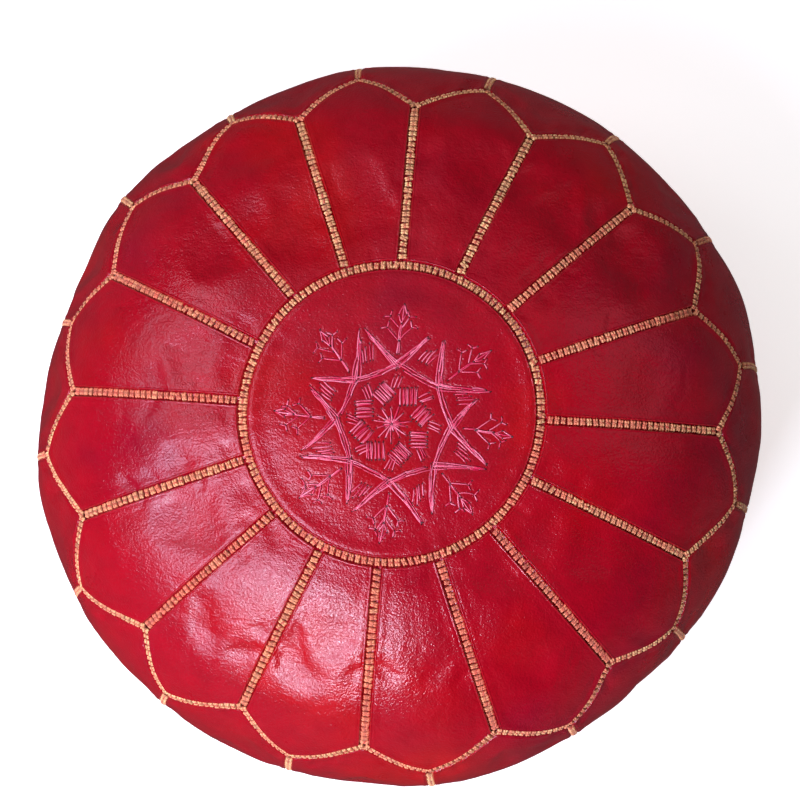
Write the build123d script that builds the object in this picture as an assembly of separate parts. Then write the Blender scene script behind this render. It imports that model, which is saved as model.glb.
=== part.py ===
from build123d import *
import math
import os

# Moroccan leather pouf, millimetres, +Z up.
# The origin is on the floor under the middle of the pouf.  The seams between
# the top petals lie at multiples of one petal step, counted from +X, and the
# zip in the base runs along X.

os.makedirs("parts", exist_ok=True)

# ---------------------------------------------------------------- dimensions
# the stuffed cover
cover_diameter = 530.0
cover_height = 319.0
belly_height = 160.0          # height of the widest place
top_power = 2.5               # superellipse exponents of the two halves
bottom_power = 2.2
flat_radius = 165.0           # where the side turns under onto the floor
rim_height = 2.2              # underside of the side panels' turned-in rim
leather = 1.6

# the pattern of panels
petal_count = 16
ring_radius = 103.0           # seam round the medallion
valley_radius = 228.0         # outer ends of the seams between petals
peak_radius = 255.0           # points of the petals
panel_gap = 0.6
gap_angle = 0.1               # degrees left free on each side of a panel
rim_inner_radius = 163.0

# the braid over the seams
braid_width = 6.4
braid_thickness = 1.8
braid_lift = 0.1              # clearance between the braid and the leather
scallop_half_width = 2.4      # in plan, where the shoulder is steep
embroidery_thickness = 0.9
embroidery_points = 8
sprig_radius = 89.0           # embroidery reaches this far on its long rays
arm_radius = 75.0             # and this far between them

# inside
lining = 0.8
lining_depth = 2.0            # below the outer face of the leather
lining_floor = 15.6
filling_gap = 0.4

# the base and its recess for the zip
base_radius = 170.0
base_seam_gap = 0.4
base_seam_width = 3.0
recess_length = 308.0         # at the floor
recess_width = 44.0
recess_slope = 7.0            # how far the sloping walls come in
recess_height = 8.5
zip_slot_length = 280.0
zip_slot_width = 11.6
front_rear_gap = 0.8

# the zip
tape_length = 288.0
tape_outer = 14.0
tape_thickness = 0.8
tooth_pitch = 2.5
tooth_length = 1.4
tooth_inner = 0.8
tooth_outer = 3.6
tooth_height = 2.6
tooth_first = -125.0
tooth_last = 122.5
stop_length = 3.0
slider_length = 14.0
slider_width = 9.6
slider_position = 115.5       # middle of the slider with the zip closed
plate_clearance = 0.5
plate_thickness = 1.8
upper_plate_thickness = 1.2
plate_nose_length = 4.0       # where the slider's wings narrow
plate_nose_taper = 2.2
plate_corner = 1.0
overlap = 0.2                 # how far the slider's members run into each other
flange_thickness = 0.8
flange_clearance = 0.4
flange_tail_gap = 1.2
flange_nose_gap = 4.2
post_length = 3.0
post_width = 0.9
post_nose_gap = 0.8
bridge_length = 6.4
bridge_width = 2.4
bridge_height = 2.9
eye_length = 4.0
eye_height = 2.0
pull_length = 27.0
pull_width = 8.0
pull_thickness = 1.2
pull_slot_width = 3.4
pull_slot_length = 8.0
pull_tilt = 10.5              # degrees below the horizontal at rest
pull_hole_radius = 1.4
pull_hole_place = 4.5         # from the free end
pull_corner = 3.0             # length and width cut off its free corners
pull_taper = 1.0              # how much narrower each side is at the free end
pull_eye_wall = 1.0           # from the cross bar's side to its end

# ------------------------------------------------------------ derived values
step = 360.0 / petal_count
cover_radius = cover_diameter / 2
far = cover_diameter          # longer than anything that it cuts
tape_bottom = recess_height + leather + 0.1
chain_height = tape_bottom + tape_thickness / 2
tape_inner = tooth_outer + 0.1
lower_plate_top = chain_height - tooth_height / 2 - plate_clearance
lower_plate_bottom = lower_plate_top - plate_thickness
upper_plate_bottom = chain_height + tooth_height / 2 + plate_clearance
pivot_height = lower_plate_bottom - eye_height / 2


# ------------------------------------------------------------------- helpers
def save(name, shape):
    export_step(shape, f"parts/{name}.step")


def group(solids):
    return Compound(children=list(solids))


def quarter(start_radius, half_width, half_height, power, count=10):
    """Points of a quarter superellipse, from its widest place to its end."""
    points = []
    for index in range(count + 1):
        turn = math.radians(90.0 * index / count)
        across = start_radius + half_width * math.cos(turn) ** (2 / power)
        rise = half_height * math.sin(turn) ** (2 / power)
        points.append((max(across, start_radius), rise))
    return points


def body(offset):
    """The stuffed shape, with its skin moved out by offset."""
    upper = quarter(0, cover_radius + offset,
                    cover_height - belly_height + offset, top_power)
    lower = quarter(flat_radius, cover_radius - flat_radius + offset,
                    belly_height - rim_height + offset, bottom_power)
    top_points = [Vector(across, 0, belly_height + rise) for across, rise in upper]
    bottom_points = [Vector(across, 0, belly_height - rise) for across, rise in lower]
    top_edge = Spline(*top_points, tangents=[(0, 0, 1), (-1, 0, 0)])
    bottom_edge = Spline(*bottom_points, tangents=[(0, 0, -1), (-1, 0, 0)])
    pole = top_points[-1]
    turn_in = bottom_points[-1]
    foot = Vector(0, 0, turn_in.Z)
    floor_edge = Line(turn_in, foot)
    axis_edge = Line(foot, pole)
    section = make_face([top_edge, axis_edge, floor_edge, bottom_edge])
    return revolve(section, Axis.Z)


def shell(outer, inner):
    return body(outer) - body(inner)


def polar(radius, angle):
    return (radius * math.cos(math.radians(angle)),
            radius * math.sin(math.radians(angle)))


def upright(points, low, high):
    """A prism on a closed outline, from height low to height high."""
    return extrude(Pos(0, 0, low) * make_face(Polyline(*points, close=True)), high - low)


def wedge(low, high):
    """The room of one panel between the two seam planes beside it."""
    half = step / 2 - gap_angle
    return upright([(0, 0), polar(far, -half), polar(far, half)], low, high)


def star(shift):
    """The scalloped outline of the petals, moved out by shift."""
    points = []
    for index in range(petal_count):
        points.append(polar(valley_radius + shift, step * index))
        points.append(polar(peak_radius + shift, step * (index + 0.5)))
    return upright(points, belly_height, far)


def disc(radius, low, high):
    return Pos(0, 0, low) * extrude(Circle(radius), high - low)


def slab(x_range, y_range, z_range):
    """A box given by its limits on each axis."""
    size = [limits[1] - limits[0] for limits in (x_range, y_range, z_range)]
    middle = [(limits[1] + limits[0]) / 2 for limits in (x_range, y_range, z_range)]
    return Pos(*middle) * Box(*size)


def around(shape, start=0.0):
    """The same piece in every panel place, the first one turned by start."""
    return [Rot(0, 0, start + step * index) * shape for index in range(petal_count)]


# ---------------------------------------------------------------- the leather
def medallion(skin):
    return skin & disc(ring_radius - panel_gap / 2, belly_height, far)


def petal(skin):
    room = (skin & wedge(belly_height, far)) - disc(ring_radius + panel_gap / 2, 0, far)
    return room & (Rot(0, 0, -step / 2) * star(-panel_gap / 2))


def side_panel(skin):
    room = (skin & wedge(0, far)) - star(panel_gap / 2)
    return room - disc(rim_inner_radius, 0, belly_height)


def recess_block(inset, height):
    """The sloping hollow over the zip, made smaller all round by inset."""
    shrink = recess_slope * height / recess_height
    foot = Rectangle(recess_length - 2 * inset, recess_width - 2 * inset)
    roof = Rectangle(recess_length - 2 * inset - 2 * shrink,
                     recess_width - 2 * inset - 2 * shrink)
    return loft([foot, Pos(0, 0, height) * roof])


def base_panel():
    slot = Box(zip_slot_length, zip_slot_width, far)
    pan = disc(base_radius, 0, rim_height - 0.2) + recess_block(-leather, recess_height + leather)
    hollow = recess_block(0, recess_height)
    return pan - hollow - slot


def base_half(side):
    """The half of the base on one side of the zip, side being -1 or 1."""
    edge = side * front_rear_gap / 2
    limits = (edge, far) if side > 0 else (-far, edge)
    return base_panel() & slab((-far, far), limits, (-1, far))


# ------------------------------------------------------------------ the braid
def ring_braid(band):
    half = braid_width / 2
    outer = disc(ring_radius + half, belly_height, far)
    return (band & outer) - disc(ring_radius - half, 0, far)


def radial_braid(band):
    half = braid_width / 2
    length = (ring_radius + half + 0.3, valley_radius - 2 * scallop_half_width)
    strip = band & slab((0, length[1]), (-half, half), (belly_height, far))
    return strip - disc(length[0], 0, far)


def scallop_braid(band):
    outer = Rot(0, 0, -step / 2) * star(scallop_half_width)
    inner = Rot(0, 0, -step / 2) * star(-scallop_half_width)
    return (band & wedge(belly_height, far) & outer) - inner


def side_braid(band):
    half = braid_width / 2
    strip = band & slab((0, far), (-half, half), (0, far))
    top_end = Rot(0, 0, -step / 2) * star(scallop_half_width + 0.3)
    foot_end = disc(base_radius + base_seam_gap + base_seam_width + 1, 0, belly_height)
    return strip - top_end - foot_end


def base_seam():
    inner = base_radius + base_seam_gap
    ring = disc(inner + base_seam_width, 0.2, rim_height - 0.2)
    return ring - disc(inner, 0, rim_height)


def embroidery(pad):
    points = []
    for index in range(embroidery_points):
        turn = 360.0 / embroidery_points
        points.append(polar(sprig_radius, turn * index))
        points.append(polar(arm_radius, turn * (index + 0.5)))
    return pad & upright(points, belly_height, far)


# ----------------------------------------------------------------- the inside
def lining_bag():
    above_zip = slab((-far, far), (-far, far), (lining_floor, far))
    outer = body(-lining_depth) & above_zip
    inside = slab((-far, far), (-far, far), (lining_floor + lining, far))
    return outer - (body(-lining_depth - lining) & inside)


def filling():
    floor = lining_floor + lining + filling_gap
    room = slab((-far, far), (-far, far), (floor, far))
    return body(-lining_depth - lining - filling_gap) & room


# -------------------------------------------------------------------- the zip
def zip_tape(side):
    across = sorted((side * tape_inner, side * tape_outer))
    return slab((-tape_length / 2, tape_length / 2), across,
                (tape_bottom, tape_bottom + tape_thickness))


def zip_teeth(side):
    """One row of teeth; the two rows stand half a pitch apart."""
    across = sorted((side * tooth_inner, side * tooth_outer))
    shift = tooth_pitch / 2 if side > 0 else 0
    height = (chain_height - tooth_height / 2, chain_height + tooth_height / 2)
    teeth = []
    place = tooth_first + shift
    while place < tooth_last:
        tooth = slab((place - tooth_length / 2, place + tooth_length / 2), across, height)
        teeth.append(fillet(tooth.edges().filter_by(Axis.Z), 0.3))
        place += tooth_pitch
    return group(teeth)


def zip_stop(place, across):
    height = (chain_height - tooth_height / 2, chain_height + tooth_height / 2)
    block = slab((place, place + stop_length), across, height)
    return fillet(block.edges().filter_by(Axis.Z), 0.4)


def slider_plate(low, high):
    """One wing of the slider, rounded at the tail and narrowed at the nose."""
    half_length = slider_length / 2
    half_width = slider_width / 2
    shoulder = half_length - plate_nose_length
    nose_width = half_width - plate_nose_taper
    outline = [(-half_length, -half_width), (shoulder, -half_width),
               (half_length, -nose_width), (half_length, nose_width),
               (shoulder, half_width), (-half_length, half_width)]
    plate = upright(outline, low, high)
    return fillet(plate.edges().filter_by(Axis.Z), plate_corner)


def zip_slider():
    lower = slider_plate(lower_plate_bottom, lower_plate_top)
    upper = slider_plate(upper_plate_bottom, upper_plate_bottom + upper_plate_thickness)
    flange_span = (-slider_length / 2 + flange_tail_gap, slider_length / 2 - flange_nose_gap)
    body_parts = lower + upper
    for side in (-1, 1):
        across = sorted((side * (slider_width / 2 - flange_thickness),
                         side * slider_width / 2))
        below = (lower_plate_top - overlap, tape_bottom - flange_clearance)
        above = (tape_bottom + tape_thickness + flange_clearance,
                 upper_plate_bottom + overlap)
        body_parts += slab(flange_span, across, below)
        body_parts += slab(flange_span, across, above)
    nose = slider_length / 2 - post_nose_gap
    body_parts += slab((nose - post_length, nose), (-post_width / 2, post_width / 2),
                       (lower_plate_top - overlap, upper_plate_bottom + overlap))
    bridge = slab((-bridge_length / 2, bridge_length / 2), (-bridge_width / 2, bridge_width / 2),
                  (lower_plate_bottom - bridge_height, lower_plate_bottom + overlap))
    bridge = fillet(bridge.edges().filter_by(Axis.Y).group_by(Axis.Z)[0], 1.2)
    eye = slab((-eye_length / 2, eye_length / 2), (-bridge_width, bridge_width),
               (lower_plate_bottom - eye_height, lower_plate_bottom))
    return Pos(slider_position, 0, 0) * (body_parts + (bridge - eye))


def zip_pull():
    """A flat tab hung on a cross bar; it is drawn level and then tilted."""
    half = pull_width / 2
    near_end = pull_thickness / 2 - 0.1
    shoulder = -pull_length + pull_corner
    tab_outline = [(near_end, -half), (near_end, half), (shoulder, half - pull_taper),
                   (-pull_length, half - pull_corner), (-pull_length, -half + pull_corner),
                   (shoulder, -half + pull_taper)]
    tab = upright(tab_outline, -pull_thickness / 2, pull_thickness / 2)
    through = (-pull_thickness, pull_thickness)
    tab -= slab((-pull_slot_length, pull_thickness),
                (-pull_slot_width / 2, pull_slot_width / 2), through)
    tab -= Pos(-pull_length + pull_hole_place, 0, 0) * Cylinder(pull_hole_radius,
                                                                2 * pull_thickness)
    bar = Rot(90, 0, 0) * Cylinder(pull_thickness / 2, pull_slot_width + 2 * pull_eye_wall)
    level = tab + bar
    return Pos(slider_position, 0, pivot_height) * Rot(0, -pull_tilt, 0) * level


# ------------------------------------------------------------------ the nodes
skin = shell(0, -leather)
band = shell(braid_lift + braid_thickness, braid_lift)
pad = shell(braid_lift + embroidery_thickness, braid_lift)

save("top_medallion", medallion(skin))
save("medallion_embroidery", embroidery(pad))
for number, piece in enumerate(around(petal(skin), step / 2), start=1):
    save(f"top_petal_{number:02d}", piece)
for number, piece in enumerate(around(side_panel(skin)), start=1):
    save(f"side_panel_{number:02d}", piece)
save("base_panel_front", base_half(-1))
save("base_panel_rear", base_half(1))

save("medallion_ring_braid", ring_braid(band))
save("petal_seam_braids", group(around(radial_braid(band))))
save("scallop_braids", group(around(scallop_braid(band), step / 2)))
save("side_seam_braids", group(around(side_braid(band), step / 2)))
save("base_ring_seam", base_seam())

save("cotton_lining", lining_bag())
save("cotton_stuffing", filling())

save("zip_tape_front", zip_tape(-1))
save("zip_tape_rear", zip_tape(1))
save("zip_teeth_front", zip_teeth(-1))
save("zip_teeth_rear", zip_teeth(1))
top_stop_place = slider_position + slider_length / 2 + 1.0
top_stops = [zip_stop(top_stop_place, (tooth_inner, tooth_outer)),
             zip_stop(top_stop_place, (-tooth_outer, -tooth_inner))]
save("zip_top_stops", group(top_stops))
bottom_stop_place = tooth_first - tooth_length / 2 - stop_length - 0.3
save("zip_bottom_stop", zip_stop(bottom_stop_place, (-tooth_outer, tooth_outer)))
save("zip_slider", zip_slider())
save("zip_pull", zip_pull())
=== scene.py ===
import math

import bpy
import numpy as np
from mathutils import Matrix, Vector


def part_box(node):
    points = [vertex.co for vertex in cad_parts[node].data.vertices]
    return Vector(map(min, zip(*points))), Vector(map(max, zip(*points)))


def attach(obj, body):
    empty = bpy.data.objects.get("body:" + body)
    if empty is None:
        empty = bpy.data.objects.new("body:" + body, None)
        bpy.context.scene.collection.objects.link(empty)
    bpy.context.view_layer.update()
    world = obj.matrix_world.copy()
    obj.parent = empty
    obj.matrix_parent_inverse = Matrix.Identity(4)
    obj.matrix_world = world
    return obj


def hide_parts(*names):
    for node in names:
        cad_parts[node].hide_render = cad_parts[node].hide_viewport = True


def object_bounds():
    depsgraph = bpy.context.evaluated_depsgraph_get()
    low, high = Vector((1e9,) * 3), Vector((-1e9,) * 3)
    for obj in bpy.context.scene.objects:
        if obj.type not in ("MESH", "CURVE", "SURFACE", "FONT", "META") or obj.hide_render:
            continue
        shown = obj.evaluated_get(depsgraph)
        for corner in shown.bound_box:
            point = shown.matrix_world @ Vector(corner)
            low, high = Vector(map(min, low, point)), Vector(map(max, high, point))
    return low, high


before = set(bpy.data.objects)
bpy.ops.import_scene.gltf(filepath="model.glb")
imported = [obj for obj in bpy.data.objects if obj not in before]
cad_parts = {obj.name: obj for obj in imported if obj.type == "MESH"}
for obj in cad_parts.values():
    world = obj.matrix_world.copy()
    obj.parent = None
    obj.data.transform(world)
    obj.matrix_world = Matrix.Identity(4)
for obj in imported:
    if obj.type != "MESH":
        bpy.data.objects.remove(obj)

cad_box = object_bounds()
MM = 0.001

# ---- dimensions
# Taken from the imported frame.
medallion_low, medallion_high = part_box("top_medallion")
base_low, base_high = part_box("base_panel_front")
COVER_RADIUS = (cad_box[1].x - cad_box[0].x) / 2
TOP_HEIGHT = medallion_high.z
RING_RADIUS = medallion_high.x + 0.3 * MM
BASE_RADIUS = base_high.x

# The pattern and the profile, as the cover was drawn.
PETALS = 16
STEP = math.tau / PETALS
BELLY_HEIGHT = 160 * MM
TOP_POWER = 2.5
BOTTOM_POWER = 2.2
FLAT_RADIUS = 165 * MM
RIM_HEIGHT = 2.2 * MM
VALLEY_RADIUS = 228 * MM
PEAK_RADIUS = 250 * MM
EDGE_BOW = 3.4 * MM            # how far a petal's edge bows out between valley and peak
OVAL = 0.013                   # the pouf is a little oval
OVAL_TURN = math.radians(47)

# Seams and leather.
LEATHER = 1.4 * MM
GROOVE = 1.8 * MM              # depth of a seam below the leather beside it
SHALLOW = 0.42                 # depth of the scalloped and side seams, of a top seam's
ROLL = 0.55 * MM               # soft swell beside a seam
LIP = 0.65 * MM                # crisp fold where the leather turns down to the seam
SHOULDER = 0.9 * MM            # swell round the medallion's rim
CELL_PITCH = 4.6 * MM          # length of one stitch of the braid
SHIFT_CAP = 8 * MM             # the most that the stuffing may move the leather
SIM_FRAMES = 18

rng = np.random.default_rng(1711)


# ---- arrays and meshes
def stacked(*coordinates):
    """Points from their coordinates, which may be arrays or single numbers."""
    return np.stack(np.broadcast_arrays(*coordinates), -1)


def unit(vectors):
    return vectors / np.linalg.norm(vectors, axis=-1, keepdims=True)


def bell(value, middle, width):
    return np.exp(-((value - middle) / width) ** 2)


def make_mesh(name, points, faces, material, colours=None, smooth=True, triangles=()):
    """A mesh object from arrays: points (n, 3), quads (m, 4), colours (n, 3) linear."""
    points = np.asarray(points, np.float32)
    faces = np.asarray(faces, np.int32)
    triangles = np.asarray(triangles, np.int32).reshape(-1, 3)
    starts = np.concatenate([np.arange(0, faces.size, 4),
                             faces.size + np.arange(0, triangles.size, 3)]).astype(np.int32)
    mesh = bpy.data.meshes.new(name)
    mesh.vertices.add(len(points))
    mesh.vertices.foreach_set("co", points.ravel())
    mesh.loops.add(faces.size + triangles.size)
    mesh.loops.foreach_set("vertex_index", np.concatenate([faces.ravel(), triangles.ravel()]))
    mesh.polygons.add(len(starts))
    mesh.polygons.foreach_set("loop_start", starts)
    mesh.polygons.foreach_set("use_smooth", np.full(len(starts), smooth))
    mesh.update(calc_edges=True)
    if colours is not None:
        layer = mesh.color_attributes.new("thread", "FLOAT_COLOR", "POINT")
        rgba = np.ones((len(points), 4), np.float32)
        rgba[:, :3] = colours
        layer.data.foreach_set("color", rgba.ravel())
    mesh.materials.append(material)
    piece = bpy.data.objects.new(name, mesh)
    bpy.context.scene.collection.objects.link(piece)
    return piece


def joined_mesh(name, parts, material):
    """One mesh from parts, each its points, its quads and its points' colours."""
    points, faces, colours = zip(*parts)
    starts = np.cumsum([0] + [len(own) for own in points])
    faces = [own + start for own, start in zip(faces, starts)]
    return make_mesh(name, np.concatenate(points), np.concatenate(faces), material,
                     np.concatenate(colours))


def grid_faces(rows, columns, wrap=False):
    """Quads of a grid of points stored row by row; wrap joins the last column to the first."""
    row = np.arange(rows - 1)[:, None]
    column = np.arange(columns if wrap else columns - 1)[None, :]
    after = (column + 1) % columns
    first = row * columns + column
    second = row * columns + after
    third = (row + 1) * columns + after
    fourth = (row + 1) * columns + column
    return np.stack([first, second, third, fourth], -1).reshape(-1, 4)


def rim_faces(loop, below):
    """Quads from a closed loop of points to the points a count below them."""
    after = np.roll(loop, -1)
    return np.stack([after, loop, loop + below, after + below], -1)


def fan_faces(ring, hub):
    """Triangles from a ring of points to a hub."""
    return np.stack([ring, np.roll(ring, -1), np.full(len(ring), hub)], -1)


def finish_piece(piece, slot, *nodes):
    """Rides a piece on the cover and lets it stand for CAD nodes."""
    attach(piece, "cover")
    if nodes:
        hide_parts(*nodes)
    return piece


# ---- the cover's shape
def quarter(start, half_width, half_height, power, turns):
    across = start + half_width * np.cos(turns).clip(0) ** (2 / power)
    rise = half_height * np.sin(turns).clip(0) ** (2 / power)
    return across, rise


def cover_profile():
    """Arrays by length along the profile, from the pole to the turned-in rim."""
    turns = np.linspace(math.pi / 2, 0, 1500)
    upper, rise = quarter(0, COVER_RADIUS, TOP_HEIGHT - BELLY_HEIGHT, TOP_POWER, turns)
    lower, fall = quarter(FLAT_RADIUS, COVER_RADIUS - FLAT_RADIUS,
                          BELLY_HEIGHT - RIM_HEIGHT, BOTTOM_POWER, turns[::-1])
    radius = np.concatenate([upper, lower[1:]])
    height = np.concatenate([BELLY_HEIGHT + rise, BELLY_HEIGHT - fall[1:]])
    length = np.concatenate([[0], np.cumsum(np.hypot(np.diff(radius), np.diff(height)))])
    even = np.linspace(0, length[-1], 4000)
    radius, height = np.interp(even, length, radius), np.interp(even, length, height)
    reach = 30
    smooth = np.ones(2 * reach + 1) / (2 * reach + 1)
    out_radius, out_height = (np.convolve(np.pad(slope, reach, mode="edge"), smooth, "valid")
                              for slope in (-np.gradient(height, even), np.gradient(radius, even)))
    size = np.hypot(out_radius, out_height)
    return even, radius, height, out_radius / size, out_height / size


ALONG, RADIUS, HEIGHT, NORMAL_R, NORMAL_Z = cover_profile()
BELLY_LENGTH = float(np.interp(-BELLY_HEIGHT, -HEIGHT, ALONG))
RIM_LENGTH = float(ALONG[-1])


def top_length(radius):
    """Length along the profile at a plan radius on the upper half."""
    upper = ALONG <= BELLY_LENGTH
    return np.interp(radius, RADIUS[upper], ALONG[upper])


def lumps(points):
    """Slow swells of the stuffing, the same for every piece at one place."""
    total = np.zeros(points.shape[:-1])
    for size, direction, phase in LUMPS:
        total += size * np.sin(points @ direction + phase)
    return total


def make_lumps():
    lump_rng = np.random.default_rng(42)
    waves = []
    for size, spacing in ((1.5, 260), (1.2, 190), (0.9, 130), (0.7, 95), (0.5, 70), (0.4, 55)):
        direction = lump_rng.normal(size=3)
        direction *= math.tau / (spacing * MM) / np.linalg.norm(direction)
        waves.append((size * MM, direction, lump_rng.uniform(0, math.tau)))
    return waves


LUMPS = make_lumps()


def place(along, turn, lift=0.0):
    """Points on the cover by length along the profile and angle, and their normals."""
    along, turn, lift = np.broadcast_arrays(along, turn, lift)
    radius, height, out_r, out_z = (np.interp(along, ALONG, values)
                                    for values in (RADIUS, HEIGHT, NORMAL_R, NORMAL_Z))
    side, ahead = np.cos(turn), np.sin(turn)
    oval = 1 + OVAL * np.cos(2 * (turn - OVAL_TURN)) * (radius / COVER_RADIUS) ** 2
    points = stacked(radius * oval * side, radius * oval * ahead, height)
    normals = stacked(out_r * side, out_r * ahead, out_z)
    grounded = np.clip((height - RIM_HEIGHT) / (60 * MM), 0, 1)
    points = points + normals * (lift + lumps(points) * grounded)[..., None]
    return points, normals


# ---- the seam network
def swing(turn, size, greatest, waves=1):
    """A slow change round the pouf, greatest at one angle in degrees."""
    return size * math.cos(waves * turn - math.radians(greatest))


def seam_turn(index):
    """Angle of the seam between two petals: the hand-cut petals aren't all one width."""
    plain = STEP * index
    drift = 0.25 + swing(plain, 1.15, 28) + swing(plain, 0.4, -6, 2)
    return plain + math.radians(drift) + SEAM_JITTER[index % PETALS]


def peak_turn(index):
    """Angle of the point of petal index, between seams index and index + 1."""
    middle = (seam_turn(index) + seam_turn(index + 1)) / 2
    drift = swing(middle, 0.5, 5) - 0.4
    return middle + math.radians(drift) + PEAK_JITTER[index % PETALS]


def valley_radius(index):
    """Radius of a seam's outer end: the pattern sits a little towards the front."""
    plain = STEP * index
    drift = swing(plain, 0.0206, -99) + swing(plain, 0.0088, -70, 2)
    return VALLEY_RADIUS * (1 + drift + RADIUS_JITTER[index % PETALS])


def peak_radius(index):
    drift = swing(STEP * (index + 0.5), 0.0134, -100)
    return PEAK_RADIUS * (1 + drift + 0.5 * RADIUS_JITTER[(index + 3) % PETALS])


SEAM_JITTER = rng.normal(0, math.radians(0.2), PETALS)
PEAK_JITTER = rng.normal(0, math.radians(0.3), PETALS)
RADIUS_JITTER = rng.normal(0, 0.004, PETALS)


def edge_radius(turn, valley, peak):
    """Plan radius at an angle on the bowed edge from a valley to a peak, (radius, angle) each."""
    (first, first_turn), (last, last_turn) = valley, peak
    span = last_turn - first_turn
    share = np.clip((turn - first_turn) / span, 0, 1)
    straight = first * last * np.sin(span) / (first * np.sin(turn - first_turn)
                                              + last * np.sin(last_turn - turn))
    return straight + EDGE_BOW * np.sin(math.pi * share ** 1.3)


def petal_edge(index, turn):
    """Plan radius of petal index's outer edge at an angle."""
    left = (valley_radius(index), seam_turn(index))
    point = (peak_radius(index), peak_turn(index))
    right = (valley_radius(index + 1), seam_turn(index + 1))
    return np.where(turn < point[1], edge_radius(turn, left, point),
                    edge_radius(turn, right, point))


# ---- shaping
def smoothstep(low, high, value):
    share = np.clip((value - low) / (high - low), 0, 1)
    return share * share * (3 - 2 * share)


def lattice(cell, seed):
    """A repeatable random number from -1 to 1 for each integer lattice point."""
    mixed = (cell[..., 0] * 374761393 + cell[..., 1] * 668265263
             + cell[..., 2] * 2147483647 + seed * 1274126177) & 0xFFFFFFFF
    mixed = ((mixed ^ (mixed >> 13)) * 1274126177) & 0xFFFFFFFF
    mixed = mixed ^ (mixed >> 16)
    return (mixed & 0xFFFF) / 32767.5 - 1


def noise(points, seed=0):
    """Smooth value noise, about -1 to 1, on points whose unit is one lattice cell."""
    floor = np.floor(points).astype(np.int64)
    share = points - floor
    share = share * share * share * (share * (share * 6 - 15) + 10)
    total = 0
    for corner in range(8):
        step = np.array([corner & 1, corner >> 1 & 1, corner >> 2 & 1])
        weight = np.prod(np.where(step, share, 1 - share), -1)
        total = total + weight * lattice(floor + step, seed)
    return total


def creases(across, along, seed):
    """Fine wrinkles of worn leather, as a height in metres (mostly negative)."""
    flat = stacked(across, along, 0.0)
    warp = noise(flat / (22 * MM), seed + 5) * 6 * MM
    height = np.zeros_like(across)
    for number, (wide, long, depth) in enumerate(((7, 34, 0.22), (4.5, 22, 0.12), (12, 50, 0.35))):
        lean = np.random.default_rng(seed * 7 + number).uniform(0, math.pi)
        first = across * math.cos(lean) + along * math.sin(lean) + warp
        second = -across * math.sin(lean) + along * math.cos(lean)
        cell = stacked(first / (wide * MM), second / (long * MM), number * 3.7)
        ridge = 1 - np.abs(noise(cell, seed + number))
        patch = smoothstep(-0.1, 0.6, noise(flat / (48 * MM), seed + 20 + number))
        height -= depth * MM * ridge ** 5 * patch
    return height


def sample(field, row_share, column_share):
    """Bicubic value of a (rows, columns, k) field at shares 0 to 1 of its sides."""
    rows, columns = field.shape[:2]
    row = np.clip(row_share, 0, 1) * (rows - 1)
    column = np.clip(column_share, 0, 1) * (columns - 1)
    row_floor = np.clip(np.floor(row).astype(int), 0, rows - 2)
    column_floor = np.clip(np.floor(column).astype(int), 0, columns - 2)
    row_weights = cubic(row - row_floor)
    column_weights = cubic(column - column_floor)
    total = 0
    for down in range(4):
        line = np.clip(row_floor + down - 1, 0, rows - 1)
        for over in range(4):
            post = np.clip(column_floor + over - 1, 0, columns - 1)
            weight = row_weights[down] * column_weights[over]
            total = total + weight[..., None] * field[line, post]
    return total


def cubic(share):
    """Catmull-Rom weights of the four samples about a place."""
    square, cube = share ** 2, share ** 3
    return (-0.5 * share + square - 0.5 * cube, 1 - 2.5 * square + 1.5 * cube,
            0.5 * share + 2 * square - 1.5 * cube, -0.5 * square + 0.5 * cube)


TROUGH_SIDE = (2.8 * MM, 3.75 * MM)     # where a seam's trough rises to the leather
NEAR_SEAM = np.array([0.15, 1.6, 2.6, 3.1, 3.45, 3.75, 4.05, 4.35, 4.7, 5.2, 6.1, 7.6, 9.8]) * MM


def spread(width, middle):
    """Places across a width: close together near both seams, even between them."""
    width = np.asarray(width)[..., None]
    last = NEAR_SEAM[-1]
    inner = last + (width - 2 * last) * np.arange(1, middle + 1) / (middle + 1)
    near = np.broadcast_to(NEAR_SEAM, width.shape[:-1] + NEAR_SEAM.shape)
    return np.concatenate([near, inner, width - near[..., ::-1]], -1)


def seam_profile(distances, depths):
    """Height of the leather near seams: a trough with a folded lip and a soft swell."""
    trough = 0
    beside = 0
    for distance, depth in zip(distances, depths):
        away = distance / (0.55 + 0.45 * depth)
        trough = np.maximum(trough, depth * (1 - smoothstep(*TROUGH_SIDE, away)))
        beside = np.maximum(beside, ROLL * bell(away, 6.0 * MM, 2.4 * MM)
                            + LIP * bell(away, 4.05 * MM, 0.5 * MM))
    return -GROOVE * trough + beside * (1 - trough)


# ---- the panels
def petal_place(index, row, column):
    """Length and angle on the cover for shares of petal index, from ring to edge."""
    left, right = seam_turn(index), seam_turn(index + 1)
    turn = left + (right - left) * column
    edge = top_length(petal_edge(index, turn))
    start = top_length(RING_RADIUS)
    return start + (edge - start) * row, turn


def side_place(index, row, column):
    """The same for side panel index, from its notched top down to its rim."""
    left, right = peak_turn(index - 1), peak_turn(index)
    turn = left + (right - left) * column
    notch = seam_turn(index)
    edge = np.where(turn < notch, petal_edge(index - 1, np.minimum(turn, notch)),
                    petal_edge(index, np.maximum(turn, notch)))
    edge = top_length(edge)
    return edge + (RIM_LENGTH - edge) * row, turn


def panel_size(shape, index):
    """Width by row share and length by column share of a panel."""
    rows = np.linspace(0, 1, 41)
    ends = [shape(index, rows, np.full(41, column)) for column in (0.0, 1.0)]
    across = np.interp((ends[0][0] + ends[1][0]) / 2, ALONG, RADIUS)
    widths = across * (ends[1][1] - ends[0][1])
    columns = np.linspace(0, 1, 41)
    tops = shape(index, np.zeros(41), columns)[0]
    feet = shape(index, np.ones(41), columns)[0]
    return (rows, widths), (columns, feet - tops)


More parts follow.
